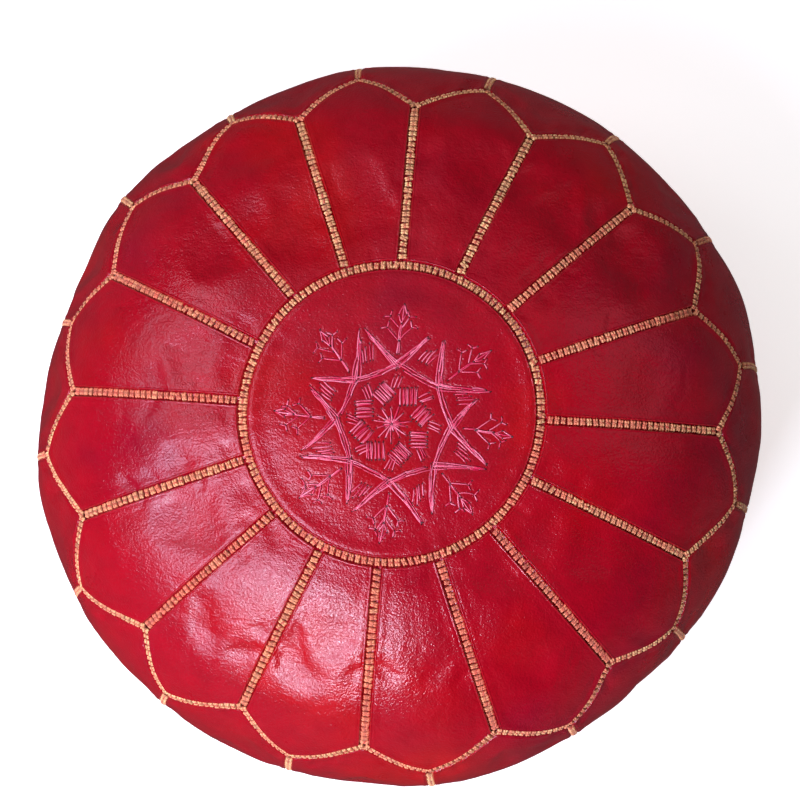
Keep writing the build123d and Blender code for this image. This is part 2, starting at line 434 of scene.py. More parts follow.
PANEL_KINDS = {
    "petal": {"shape": petal_place, "rows": 32, "columns": 20, "crown": 1.6 * MM,
              "slack": 0.0035, "pressure": 3.0},
    "side": {"shape": side_place, "rows": 70, "columns": 22, "crown": -1.2 * MM,
             "slack": 0.012, "pressure": 0.8},
}


def panel_starts(shape, rows, columns, crown):
    """Each panel's coarse grid before it is stuffed, flat and plainly puffed."""
    row, column = np.meshgrid(np.linspace(0, 1, rows), np.linspace(0, 1, columns), indexing="ij")
    lift = crown * (1 - np.abs(2 * row - 1) ** 4) * (1 - np.abs(2 * column - 1) ** 2.6)
    starts = []
    for index in range(PETALS):
        points, normals = place(*shape(index, row, column))
        starts.append((points, points + normals * lift[..., None]))
    return starts


CLOTH_SETTINGS = {
    "quality": 5, "mass": 0.6, "air_damping": 2, "vertex_group_mass": "seams",
    "tension_stiffness": 30, "compression_stiffness": 30, "shear_stiffness": 12,
    "bending_stiffness": 8, "tension_damping": 12, "compression_damping": 12,
    "shear_damping": 12, "bending_damping": 2, "use_pressure": True}


def stuff_panels(starts, slack, pressure):
    """Leather pinned at its seams and pressed out by the stuffing, by cloth simulation."""
    rows, columns = starts[0][0].shape[:2]
    per = rows * columns
    border = np.zeros((rows, columns), bool)
    border[[0, -1]] = True
    border[:, [0, -1]] = True
    offsets = np.arange(len(starts))[:, None] * per
    pins = np.flatnonzero(border) + offsets
    faces = (grid_faces(rows, columns)[None] + offsets[..., None]).reshape(-1, 4)
    points = np.concatenate([puffed.reshape(-1, 3) for flat, puffed in starts])
    sheet = make_mesh("leather_in_work", points, faces, bpy.data.materials.new("in_work"))
    group = sheet.vertex_groups.new(name="seams")
    group.add(pins.ravel().tolist(), 1.0, "REPLACE")
    cloth = sheet.modifiers.new("Cloth", "CLOTH")
    settings = cloth.settings
    facts = {**CLOTH_SETTINGS, "shrink_min": -slack, "uniform_pressure_force": pressure}
    for setting, value in facts.items():
        setattr(settings, setting, value)
    settings.effector_weights.gravity = 0
    cloth.collision_settings.use_collision = False
    cloth.collision_settings.use_self_collision = False
    cloth.point_cache.frame_start = 1
    cloth.point_cache.frame_end = SIM_FRAMES
    scene = bpy.context.scene
    for number in range(1, SIM_FRAMES + 1):
        scene.frame_set(number)
    evaluated = sheet.evaluated_get(bpy.context.evaluated_depsgraph_get())
    moved = np.zeros(len(points) * 3, np.float32)
    evaluated.data.vertices.foreach_get("co", moved)
    moved = moved.reshape(-1, rows, columns, 3)
    scene.frame_set(1)
    bpy.data.objects.remove(sheet)
    fields = []
    for (flat, puffed), grid in zip(starts, moved):
        shift = grid - flat
        size = np.linalg.norm(shift, axis=-1, keepdims=True)
        fields.append(shift * np.minimum(1, SHIFT_CAP / np.maximum(size, 1e-9)))
    return fields


def stuffed_fields(shape, rows, columns, crown, slack, pressure):
    """How far each panel's coarse grid moves from the plain cover."""
    starts = panel_starts(shape, rows, columns, crown)
    return stuff_panels(starts, slack, pressure)


def panel_mesh(kind, index, field, middle_rows, middle_columns, material, name):
    """The finished leather of one panel, as a closed sheet of its real thickness."""
    shape = PANEL_KINDS[kind]["shape"]
    (row_shares, widths), (column_shares, lengths) = panel_size(shape, index)
    mean_length = lengths.mean()
    nominal_rows = spread(mean_length, middle_rows) / mean_length
    row_widths = np.interp(nominal_rows, row_shares, widths)
    columns = spread(row_widths, middle_columns) / row_widths[:, None]
    column_lengths = np.interp(columns, column_shares, lengths)
    from_start = spread(column_lengths, middle_rows)
    line = np.arange(len(nominal_rows))
    rows = from_start[line, :, line] / column_lengths
    along, turn = shape(index, rows, columns)
    points, normals = place(along, turn)
    points = points + sample(field, rows, columns)
    width = np.interp(rows, row_shares, widths)
    near = [columns * width, (1 - columns) * width]
    slanted = math.cos(math.radians(34))
    if kind == "petal":
        near += [rows * column_lengths, (1 - rows) * column_lengths * slanted]
        top_distance = near[3]
        depths = (1, 1, 1, SHALLOW)
    else:
        near += [rows * column_lengths * slanted, (1 - rows) * column_lengths]
        top_distance = near[2]
        depths = (SHALLOW,) * 4
    seed = index + (100 if kind == "side" else 0)
    across, down = (columns - 0.5) * width, rows * column_lengths
    lift = seam_profile(near, depths)
    calm = smoothstep(3 * MM, 12 * MM, np.minimum.reduce(near))
    lift = lift + creases(across, down, seed) * (0.25 + 0.75 * calm)
    lift = lift + puckers(across, down, near, top_distance, kind, seed)
    outside = points + normals * lift[..., None]
    return leather_sheet(name, outside, normals, material)


def puckers(across, down, near, top_distance, kind, seed):
    """Gathers that run away from the seams and fade: fine ones and a few broad ones."""
    gather = 0
    for number, (place_along, distance) in enumerate(((down, near[0]), (down, near[1]),
                                                      (across, top_distance))):
        scalloped = number == 2
        for spacing, reach, height in ((7.5, 9, 0.30), (15, 30, 0.34)):
            if scalloped:
                height *= 3.2 if kind == "side" else 2.4
                reach *= 1.3
            cell = stacked(place_along / (spacing * MM), seed * 1.7 + number + spacing,
                           distance / (3.4 * reach * MM))
            fade = smoothstep(2.6 * MM, 6.5 * MM, distance) * np.exp(-distance / (reach * MM))
            gather = gather + height * MM * noise(cell, seed + 40) * fade
    return gather


def leather_sheet(name, outside, normals, material):
    """A grid of leather with an inner face and a rim, so that it is a closed sheet."""
    rows, columns = outside.shape[:2]
    inside = outside - normals * LEATHER
    count = rows * columns
    faces = grid_faces(rows, columns)
    inner = faces[:, ::-1] + count
    order = np.arange(count).reshape(rows, columns)
    loop = np.concatenate([order[0, :-1], order[:-1, -1], order[-1, :0:-1], order[:0:-1, 0]])
    points = np.concatenate([outside.reshape(-1, 3), inside.reshape(-1, 3)])
    faces = np.concatenate([faces, inner, rim_faces(loop, count)])[:, ::-1]
    return make_mesh(name, points, faces, material)


def dome(points, share):
    """Height of the stuffed medallion over the plain cover; share is of the ring's radius."""
    swell = stacked(points[..., 0], points[..., 1], 0.0) / (26 * MM)
    return 2.6 * MM * (1 - share ** 3.2) \
        + 0.45 * MM * noise(swell, 9) * smoothstep(0.98, 0.6, share)


def medallion_mesh(material, strokes):
    """The round top: rings of points, with its rim rolled down into the seam."""
    last = RING_RADIUS - NEAR_SEAM[::-1]
    inner = np.linspace(0.6 * MM, last[0], 88, endpoint=False)
    radii = np.concatenate([inner, last])
    turns = np.linspace(0, math.tau, 480, endpoint=False)
    radius, turn = np.meshgrid(radii, turns, indexing="ij")
    points, normals = place(top_length(radius), turn)
    distance = RING_RADIUS - radius
    share = radius / RING_RADIUS
    lift = dome(points, share) + SHOULDER * bell(distance, 8 * MM, 5 * MM)
    lift = lift + seam_profile([distance], [1])
    across, down = points[..., 0], points[..., 1]
    calm = smoothstep(3 * MM, 14 * MM, distance)
    lift = lift + creases(across, down, 61) * calm * 0.8
    cell = stacked(turn * 14, radius / (30 * MM), 0.0)
    lift = lift + 0.5 * MM * noise(cell, 8) * smoothstep(3 * MM, 6 * MM, distance) \
        * np.exp(-distance / (12 * MM))
    lift = lift - pulled_in(across, down, strokes)
    outside = points + normals * lift[..., None]
    pole_height = outside[0, :, 2].mean()
    outer = outside.reshape(-1, 3)
    rows, columns = radius.shape
    count = rows * columns
    inside = outer - normals.reshape(-1, 3) * LEATHER
    poles = np.array([[0, 0, pole_height], [0, 0, pole_height - LEATHER]])
    faces = grid_faces(rows, columns, wrap=True)
    rim = rim_faces(np.arange(columns) + (rows - 1) * columns, count)
    quads = np.concatenate([faces[:, ::-1], faces + count, rim[:, ::-1]])
    hub = np.arange(columns)
    fans = [fan_faces(hub, 2 * count), fan_faces(hub + count, 2 * count + 1)[:, [1, 0, 2]]]
    return make_mesh("top_medallion_leather", np.concatenate([outer, inside, poles]),
                     quads, material, triangles=np.concatenate(fans))


def pulled_in(across, down, strokes):
    """How far the embroidery draws the leather down, near its stitches."""
    depth = np.zeros_like(across)
    flat = stacked(across, down)
    for start, end in strokes:
        low = np.minimum(start, end) - 3 * MM
        high = np.maximum(start, end) + 3 * MM
        near = np.all((flat > low) & (flat < high), -1)
        spots = flat[near]
        line = end - start
        share = np.clip((spots - start) @ line / (line @ line), 0, 1)
        distance = np.linalg.norm(spots - (start + share[:, None] * line), axis=1)
        depth[near] = np.maximum(depth[near], 0.35 * MM * bell(distance, 0, 1.3 * MM))
    return depth


# ---- the braid
STRAW = np.array([0.88, 0.56, 0.25])
PEACH = np.array([0.84, 0.25, 0.14])
CORAL = np.array([0.66, 0.09, 0.055])
SHADOW = np.array([0.20, 0.02, 0.012])
STRAND_REACH = 1.9 * MM        # how far the strands of a stitch go to each side
TUBE_SIDES = 6


def tube(spine, width, across, up):
    """Rings of points round a spine; across and up are each ring's two axes, already scaled."""
    around = np.linspace(0, math.tau, TUBE_SIDES, endpoint=False)[None, :, None]
    points = spine[:, None] + width[:, None, None] * (np.cos(around) * across + np.sin(around) * up)
    return points.reshape(-1, 3), grid_faces(len(spine), TUBE_SIDES, wrap=True)


def spine_axes(spine):
    """The sideways and upward unit axes at each point of a spine."""
    tangent = unit(np.gradient(spine, axis=0))
    across = unit(np.cross(tangent, [0, 0, 1]))
    return across[:, None], np.cross(across, tangent)[:, None]


def strand(start, end, top, thick, rows=6):
    """A thick thread that arches from one side of the braid to the other."""
    share = np.linspace(0, 1, rows)
    swing_over = 0.5 - 0.5 * np.cos(math.pi * share)
    spine = stacked(start[0] + (end[0] - start[0]) * swing_over,
                    start[1] + (end[1] - start[1]) * share,
                    top * (np.sin(math.pi * share) ** 0.45))
    width = thick * (0.76 + 0.34 * np.abs(2 * share - 1) ** 1.5)
    return tube(spine, width, *spine_axes(spine))


def pebble(size, rows=5, columns=8, power=2.6):
    """A small rounded block, as quads with tiny caps."""
    lift = np.linspace(-math.pi / 2, math.pi / 2, rows + 2)[1:-1]
    lift = np.concatenate([[-1.45], lift, [1.45]])
    turn = np.linspace(0, math.tau, columns, endpoint=False)
    level, flat = np.meshgrid(lift, turn, indexing="ij")

    def bent(value):
        return np.sign(value) * np.abs(value) ** (2 / power)

    points = size * stacked(bent(np.cos(level)) * bent(np.cos(flat)),
                            bent(np.cos(level)) * bent(np.sin(flat)), bent(np.sin(level)))
    return points.reshape(-1, 3), grid_faces(rows + 2, columns, wrap=True)


def braid_cell():
    """One stitch of the braid about its own middle: x along, y across, z up."""
    reach = STRAND_REACH
    parts = [(*pebble(np.array([2.08, 2.5, 1.0]) * MM, power=3.4), "core")]
    for side, part in ((-1, "near"), (1, "far")):
        for half in (-1, 1):
            outer = (side * 0.98 * MM, half * reach)
            inner = (side * 0.62 * MM, half * 0.30 * reach)
            parts.append((*strand(outer, inner, 1.05 * MM, 0.88 * MM), part))
    link = strand((-1.15 * MM, 0.22 * reach), (1.15 * MM, -0.22 * reach), 1.2 * MM, 0.86 * MM)
    return parts + [(*link, "link")]


CELL = braid_cell()


def braid_piece(name, points, tangents, normals, scale_across, material, gold_share, seed):
    """A row of stitches, one at each point, turned to the seam and to the leather."""
    cell_rng = np.random.default_rng(seed)
    count = len(points)
    across = unit(np.cross(normals, tangents))
    tangents = np.cross(across, normals)
    yaw = cell_rng.normal(0, math.radians(8), count)
    tilt = cell_rng.normal(0, math.radians(5), count)
    cosine, sine = np.cos(yaw)[:, None], np.sin(yaw)[:, None]
    first = tangents * cosine + across * sine
    second = across * cosine - tangents * sine
    third = normals * np.cos(tilt)[:, None] + first * np.sin(tilt)[:, None]
    first = np.cross(second, third)
    size = (1 + cell_rng.normal(0, 0.075, (count, 3))) * [0.97, scale_across, 1]
    axes = np.stack([first, second, third], 1) * size[..., None]
    drift = np.cumsum(cell_rng.normal(0, 0.22, count))
    drift = gold_share + 0.32 * np.sin(drift + seed) + cell_rng.normal(0, 0.16, count)
    straw = np.clip(drift, 0, 1)[:, None]
    shade = 1 + cell_rng.normal(0, 0.09, count)
    loop = PEACH * (1 - straw) + STRAW * straw
    tints = {"core": SHADOW + loop * 0.42}
    for part, base, own in (("near", loop, 0.5), ("far", loop, 0.5), ("link", CORAL, 0.6)):
        pick = cell_rng.uniform(0, 1, (count, 1)) * own
        tints[part] = base * (1 - pick) + (CORAL if part != "link" else loop) * pick
    parts = []
    for local, quads, part in CELL:
        moved = points[:, None] + local @ axes
        starts = len(local) * np.arange(count)[:, None, None]
        # Painted highlight towards both sides of the seam and painted shade in the middle of each
        # stitch: every part of a stitch is lighter the farther it lies across the seam.
        painted_light = 0.72 + 0.42 * np.abs(local[:, 1]) / STRAND_REACH
        tone = tints[part][:, None] * shade[:, None, None] * painted_light[None, :, None]
        parts.append((moved.reshape(-1, 3), (quads[None] + starts).reshape(-1, 4),
                      np.clip(tone, 0, 1).reshape(-1, 3)))
    return joined_mesh(name, parts, material)


BRAID_GAP = 4.4 * MM           # bare seam between one braid and the start of another
BRAID_LIFT = 0.9 * MM - GROOVE
SHALLOW_LIFT = 0.7 * MM - SHALLOW * GROOVE


def along_path(route, pitch=CELL_PITCH, lift=BRAID_LIFT, closed=False):
    """Evenly spaced points, tangents and normals on a route (length, angle) on the cover."""
    points, normals = place(route[:, 0], route[:, 1], lift)
    gaps = np.linalg.norm(np.diff(points, axis=0), axis=1)
    length = np.concatenate([[0], np.cumsum(gaps)])
    count = max(int(round(length[-1] / pitch)), 1)
    middles = (np.arange(count) + 0.5) * length[-1] / count

    def at(values):
        return stacked(*(np.interp(middles, length, column) for column in values.T))

    tangents = np.gradient(points, axis=0)
    if closed:
        tangents[0] = tangents[-1] = points[1] - points[-2]
    return at(points), at(unit(tangents)), at(normals)


def straight_route(start, end, count=200):
    share = np.linspace(0, 1, count)[:, None]
    return np.array(start) * (1 - share) + np.array(end) * share


def make_braids(material):
    ring_length = float(top_length(RING_RADIUS))
    circle = straight_route((ring_length, 0), (ring_length, math.tau), 1200)
    ring = braid_piece("ring_braid", *along_path(circle, closed=True), 1.0, material, 0.5, 3)
    finish_piece(ring, "gold_braid", "medallion_ring_braid")
    for index in range(PETALS):
        turn = seam_turn(index)
        valley = float(top_length(valley_radius(index)))
        route = straight_route((ring_length + BRAID_GAP, turn), (valley - 1.6 * MM, turn))
        radial = braid_piece(f"petal_seam_braid_{index + 1:02d}", *along_path(route), 1.03,
                             material, 0.45 + 0.3 * math.sin(turn), 10 + index)
        finish_piece(radial, "gold_braid", "petal_seam_braids")
        scallop = scallop_braid(index, material)
        finish_piece(scallop, "gold_braid", "scallop_braids")
        peak = float(top_length(peak_radius(index)))
        turn = peak_turn(index)
        route = straight_route((peak + BRAID_GAP, turn), (RIM_LENGTH - 6 * MM, turn), 400)
        stitches = along_path(route, lift=SHALLOW_LIFT + 0.3 * MM)
        side = braid_piece(f"side_seam_braid_{index + 1:02d}", *stitches, 0.86,
                           material, 0.85, 60 + index)
        finish_piece(side, "gold_braid", "side_seam_braids")


def scallop_braid(index, material):
    """The braid on one petal's two outer edges, from valley over the peak to valley."""
    turns = np.linspace(seam_turn(index), seam_turn(index + 1), 500)
    lengths = top_length(petal_edge(index, turns))
    stitches = along_path(stacked(lengths, turns), lift=SHALLOW_LIFT)
    return braid_piece(f"scallop_braid_{index + 1:02d}", *stitches, 0.95, material, 0.75,
                       30 + index)


# ---- the embroidery
ROSETTE_CENTRE = np.array([0.6, -7.7]) * MM
STAR_CENTRE = np.array([2.2, -7.2]) * MM
BLOCK_TURN = math.radians(-3.9)
STAR_TURN = math.radians(0.1)
POINTS = 8
POINT_STEP = math.tau / POINTS
SPOKES = 14                    # long stitches of the rosette
SPOKE_REACH = (11.0 * MM, 13.2 * MM)
BLOCK_RADIUS = 21.6 * MM
RAY_ENDS = (23.5 * MM, 32.5 * MM)
NODE_RADIUS = 40 * MM          # where the arms of the star cross
FILL_RADIUS = 46 * MM          # inner end of the stitches that fill an arm
TIP_RADIUS = 66.5 * MM
SPRIG_LEAN = 0.0012            # turn of a sprig for each millimetre outwards
PINK = np.array([0.68, 0.010, 0.075])
PALE_PINK = np.array([0.95, 0.22, 0.35])
# Painted shade of the needle holes: the stitch ends darken to this colour, and small discs of it
# sit at each hole.
PAINTED_HOLE_SHADE = np.array([0.07, 0.002, 0.008])


def polar(radius, turn):
    return np.array([radius * math.cos(turn), radius * math.sin(turn)])


def sideways(line):
    """The unit direction to the left of a line in plan."""
    return np.array([-line[1], line[0]]) / np.linalg.norm(line)


def motif_strokes():
    """Straight stitches of the motif in plan, by group: pairs of end points."""
    wobble = np.random.default_rng(88)
    groups = {"rosette": [], "blocks": [], "rays": [], "star": [], "fills": [], "sprigs": []}

    def middle(group):
        return ROSETTE_CENTRE if group in ("rosette", "blocks") else STAR_CENTRE

    def stroke(group, start, end, strands=1, gap=0.8 * MM):
        side = sideways(end - start)
        for strand in range(strands):
            shift = side * gap * (strand - (strands - 1) / 2)
            first = start + shift + wobble.normal(0, 0.32 * MM, 2)
            last = end + shift + wobble.normal(0, 0.32 * MM, 2)
            groups[group].append((first + middle(group), last + middle(group)))

    def bundle(group, start, end, bow, strands, gaps, stitches=3):
        """Side-by-side rows of stitches on a bowed line, closer together at its end."""
        side = sideways(end - start)
        for strand in range(strands):
            cuts = np.linspace(0, 1, stitches + 1)
            cuts[1:-1] += wobble.uniform(-0.13, 0.13, stitches - 1)
            cuts[-1] += wobble.uniform(-0.16, 0.04)
            spread_out = (strand - (strands - 1) / 2) * (gaps[0] + (gaps[1] - gaps[0]) * cuts)
            away = spread_out + 4 * bow * cuts * (1 - cuts)
            spots = start + cuts[:, None] * (end - start) + away[:, None] * side
            spots += wobble.normal(0, 0.3 * MM, spots.shape)
            for first, last in zip(spots[:-1], spots[1:]):
                overlap = (last - first) * 0.12
                groups[group].append((first - overlap + middle(group),
                                      last + overlap + middle(group)))

    for spoke in range(SPOKES):
        turn = BLOCK_TURN + math.tau * spoke / SPOKES + wobble.normal(0, 0.05)
        reach = SPOKE_REACH[spoke % 2]
        stroke("rosette", polar(0.9 * MM, turn), polar(reach, turn + wobble.normal(0, 0.08)))
        stroke("rosette", polar(0.4 * MM, turn + 0.2), polar(5.5 * MM, turn + 0.2))
    for arm in range(POINTS):
        node_turn = STAR_TURN + POINT_STEP * arm + wobble.normal(0, 0.025)
        tip_turn = node_turn + POINT_STEP / 2
        block_strokes(stroke, BLOCK_TURN + POINT_STEP * (arm + 0.5) + wobble.normal(0, 0.02))
        for ray in range(3):
            turn = node_turn + math.radians(4.5) * (ray - 1)
            stroke("rays", polar(RAY_ENDS[0], turn + 0.05), polar(RAY_ENDS[1], turn - 0.05))
        node = polar(NODE_RADIUS, node_turn)
        bundle("star", node, polar(NODE_RADIUS, node_turn + POINT_STEP), 1.0 * MM, 3,
               (1.5 * MM, 1.5 * MM))
        for side in (-1, 1):
            reach = TIP_RADIUS * (1 + wobble.normal(0, 0.05))
            tip = polar(reach, node_turn + side * (POINT_STEP / 2 - 0.045))
            bundle("star", node, tip, side * 0.7 * MM, 4, (1.6 * MM, 0.3 * MM))
        for fill in range(4):
            turn = tip_turn + 0.05 + math.radians(2.9) * (fill - 1.5)
            reach = (58.5 - 2.2 * abs(fill - 1)) * MM
            stroke("fills", polar(FILL_RADIUS, turn), polar(reach, turn - 0.06))
        sprig_strokes(stroke, node_turn)
    return groups


def block_strokes(stroke, turn):
    """Five parallel stitches that lean across the way out."""
    middle = polar(BLOCK_RADIUS, turn)
    lean = turn + math.radians(31)
    for number in range(5):
        shift = polar((number - 2) * 2.6 * MM, lean + math.pi / 2)
        half = polar(6.1 * MM, lean)
        stroke("blocks", middle + shift - half, middle + shift + half, 2, 0.62 * MM)


def sprig_strokes(stroke, turn):
    """A twig with two pairs of branches and a leaf at its tip."""
    stem = [polar(radius * MM, turn - SPRIG_LEAN * (radius - 47.5))
            for radius in (47.5, 57, 69)]
    stroke("sprigs", stem[0], stem[1], 2, 0.5 * MM)
    stroke("sprigs", stem[1], stem[2], 2, 0.5 * MM)
    for start, reach, side_length in ((stem[1] * 0.99, 13, 0.72), (stem[1] * 1.14, 11, 0.66)):
        for side in (-1, 1):
            lean = turn + side * side_length
            end = start + polar(reach * MM, lean)
            stroke("sprigs", start, end)
            for cap in (-1, 1):
                twig = end + polar(4.2 * MM, lean + cap * 1.0)
                stroke("sprigs", end, twig)
    leaf = [polar(75 * MM, turn - SPRIG_LEAN * 27 + side * 0.035) for side in (-1, 1)]
    point = polar(82.5 * MM, turn - SPRIG_LEAN * 35)
    for side in leaf:
        stroke("sprigs", stem[2], side)
        stroke("sprigs", side, point)
    stroke("sprigs", stem[2], point)


def medallion_height(flat):
    """Points of the leather's face over plan places, without its finest wrinkles."""
    radius = np.linalg.norm(flat, axis=-1)
    turn = np.arctan2(flat[..., 1], flat[..., 0])
    points, normals = place(top_length(radius), turn)
    return points + normals * dome(points, radius / RING_RADIUS)[..., None]


def stitch_tubes(name, strokes, material, seed, thread=0.36 * MM, rows=9):
    """Threads that arch a little over the leather and dip in at both ends, with painted shade on
    their ends and a dark disc of painted shade at each needle hole.
    """
    tube_rng = np.random.default_rng(seed)
    share = np.linspace(0, 1, rows)
    parts = []
    dimple, dimple_faces = pebble(np.array([0.52, 0.52, 0.3]) * MM, rows=3, columns=6, power=2)
    for start, end in strokes:
        line = end - start
        bow = tube_rng.normal(0, 0.025) * np.linalg.norm(line)
        away = (bow * np.sin(math.pi * share))[:, None]
        flat = start + share[:, None] * line + sideways(line) * away
        centre = medallion_height(flat)
        arch = (4 * share * (1 - share)) ** 0.35
        centre[:, 2] += (-0.75 + arch) * MM + tube_rng.normal(0, 0.08) * MM
        width = thread * (1 + tube_rng.normal(0, 0.1)) * (0.6 + 0.4 * arch)
        across, up = spine_axes(centre)
        tone = PINK + (PALE_PINK - PINK) * tube_rng.uniform(0.0, 1.0) ** 1.3
        # Painted shade: each stitch darkens towards its ends, where it dips into its needle hole.
        ends = 1 - smoothstep(0.0, 0.16, np.minimum(share, 1 - share))[:, None]
        shade = tone * (1 - ends) + PAINTED_HOLE_SHADE * ends
        parts.append((*tube(centre, width, 1.25 * across, 0.85 * up),
                      np.repeat(shade, TUBE_SIDES, axis=0)))
        # A small dark disc of painted shade at each needle hole.
        for tip in flat[[0, -1]]:
            painted_hole_disc = medallion_height(tip[None]) + dimple - np.array([0, 0, 0.12 * MM])
            parts.append((painted_hole_disc, dimple_faces, np.repeat(PAINTED_HOLE_SHADE[None], len(dimple), axis=0)))
    return joined_mesh(name, parts, material)


# ---- materials
def node_tree(name):
    material = bpy.data.materials.new(name)
    material.use_nodes = True
    tree = material.node_tree
    where = tree.nodes.new("ShaderNodeTexCoord").outputs["Object"]
    return material, tree, tree.nodes["Principled BSDF"], where


def set_inputs(tree, node, inputs):
    """Gives a node's inputs their values, or links them to other nodes' outputs."""
    for name, value in inputs.items():
        if isinstance(value, bpy.types.NodeSocket):
            tree.links.new(value, node.inputs[name])
        else:
            node.inputs[name].default_value = value


def add_node(tree, kind, inputs, **settings):
    node = tree.nodes.new("ShaderNode" + kind)
    for setting, value in settings.items():
        setattr(node, setting, value)
    set_inputs(tree, node, inputs)
    return node


def noise_node(tree, vector, scale, detail=4.0, roughness=0.55, stretch=None):
    """Noise texture in metres; stretch scales the axes first."""
    if stretch:
        vector = add_node(tree, "Mapping", {"Scale": stretch, "Vector": vector}).outputs["Vector"]
    return add_node(tree, "TexNoise", {"Scale": scale, "Detail": detail, "Roughness": roughness,
                                       "Vector": vector}).outputs["Fac"]


def ramp_node(tree, value, stops):
    """A colour ramp: stops are (position, (r, g, b))."""
    ramp = add_node(tree, "ValToRGB", {"Fac": value})
    ramp.color_ramp.interpolation = "EASE"
    elements = ramp.color_ramp.elements
    while len(elements) < len(stops):
        elements.new(0.5)
    for element, (position, colour) in zip(elements, stops):
        element.position = position
        element.color = (*colour, 1)
    return ramp.outputs["Color"]


def mix_node(tree, kind, share, first, second):
    return add_node(tree, "Mix", {"Factor": share, "A": first, "B": second},
                    data_type="RGBA", blend_type=kind).outputs["Result"]


def range_node(tree, value, low, high):
    """The middle of a noise's range, from 0.3 to 0.7, stretched to run from low to high."""
    return add_node(tree, "MapRange", {"From Min": 0.3, "From Max": 0.7, "To Min": low,
                                       "To Max": high, "Value": value}).outputs["Result"]


def bump_node(tree, height, distance, strength, below=None):
    inputs = {"Distance": distance, "Strength": strength, "Height": height}
    if below is not None:
        inputs["Normal"] = below
    return add_node(tree, "Bump", inputs).outputs["Normal"]


def leather_material(name, deep, middle, bright, rough, gloss):
    """Dyed, polished goatskin: uneven red, fine grain, soft gloss."""
    material, tree, shader, where = node_tree(name)
    broad = noise_node(tree, where, 7, 3)
    colour = ramp_node(tree, broad, [(0.30, deep), (0.50, middle), (0.68, bright)])
    tone = range_node(tree, noise_node(tree, where, 60, 6, 0.65), 0.86, 1.08)
    worn = noise_node(tree, where, 18, 5, 0.6)
    pores = add_node(tree, "TexVoronoi", {"Scale": 640, "Vector": where},
                     feature="DISTANCE_TO_EDGE").outputs["Distance"]
    fine = noise_node(tree, where, 600, 1, 0.6)
    lines = noise_node(tree, where, 190, 2, 0.6, (1.0, 2.0, 1.0))
    folds = noise_node(tree, where, 70, 3, 0.55, (1.0, 2.2, 1.0))
    normal = bump_node(tree, folds, 1.0 * MM, 0.24)
    normal = bump_node(tree, lines, 0.8 * MM, 0.20, normal)
    normal = bump_node(tree, fine, 0.6 * MM, 0.62, normal)
    normal = bump_node(tree, pores, 0.2 * MM, 0.7, normal)
    set_inputs(tree, shader, {
        "Base Color": mix_node(tree, "MULTIPLY", 1.0, colour, tone),
        "Roughness": range_node(tree, worn, rough - 0.08, rough + 0.10),
        "Specular IOR Level": 0.20, "Specular Tint": (1.0, 0.70, 0.95, 1),
        "Coat Weight": gloss, "Coat Roughness": 0.20, "Normal": normal, "Coat Normal": normal})
    return material


def thread_material(name, rough, sheen, specular):
    """Silk thread whose colour is stored on the mesh, stitch by stitch."""
    material, tree, shader, where = node_tree(name)
    stored = add_node(tree, "Attribute", {}, attribute_name="thread").outputs["Color"]
    fibres = noise_node(tree, where, 1400, 4, 0.6, (1.0, 1.0, 2.0))
    tone = range_node(tree, fibres, 0.7, 1.15)
    set_inputs(tree, shader, {
        "Base Color": mix_node(tree, "MULTIPLY", 1.0, stored, tone), "Roughness": rough,
        "Specular IOR Level": specular, "Sheen Weight": sheen, "Sheen Roughness": 0.35,
        "Normal": bump_node(tree, fibres, 0.25 * MM, 0.7)})
    return material


def cloth_material(name, colour, scale, rough=0.9):
    """Plain-woven cotton."""
    material, tree, shader, where = node_tree(name)
    weave = [add_node(tree, "TexWave", {"Scale": scale, "Distortion": 0.4, "Vector": where},
                      bands_direction=axis).outputs["Color"] for axis in ("X", "Y")]
    threads = mix_node(tree, "MIX", 0.5, *weave)
    tint = noise_node(tree, where, 30, 5)
    tone = ramp_node(tree, tint, [(0.3, tuple(0.82 * c for c in colour)), (0.7, colour)])
    set_inputs(tree, shader, {
        "Base Color": mix_node(tree, "MULTIPLY", 0.35, tone, threads), "Roughness": rough,
        "Normal": bump_node(tree, threads, 0.2 * MM, 0.6)})
    return material


def brass_material():
    """Aged brass of the zip, duller in patches."""
    material, tree, shader, where = node_tree("zip_brass")
    patches = noise_node(tree, where, 180, 5)
    scratches = noise_node(tree, where, 900, 3, 0.5, (1.0, 6.0, 1.0))
    set_inputs(tree, shader, {
        "Base Color": ramp_node(tree, patches, [(0.3, (0.42, 0.25, 0.08)),
                                                (0.65, (0.80, 0.56, 0.24))]),
        "Metallic": 1.0, "Roughness": range_node(tree, patches, 0.46, 0.24),
        "Normal": bump_node(tree, scratches, 0.05 * MM, 0.4)})
    return material


# ---- the base and inside
RECESS_HALF_LENGTH = 154 * MM
RECESS_HALF_WIDTH = 22 * MM
RECESS_SLOPE = 7 * MM
RECESS_HEIGHT = 8.5 * MM
SLOT_HALF_LENGTH = 140 * MM
SLOT_HALF_WIDTH = 5.8 * MM
SEAM_GAP = 0.4 * MM            # half the gap between the halves beyond the zip


def recess_lift(across, ahead):
    """Height of the base's lower face, which rises over the zip."""
    inside = np.minimum(RECESS_HALF_LENGTH - np.abs(across), RECESS_HALF_WIDTH - np.abs(ahead))
    return RECESS_HEIGHT * smoothstep(-0.1, 1.1, inside / RECESS_SLOPE)


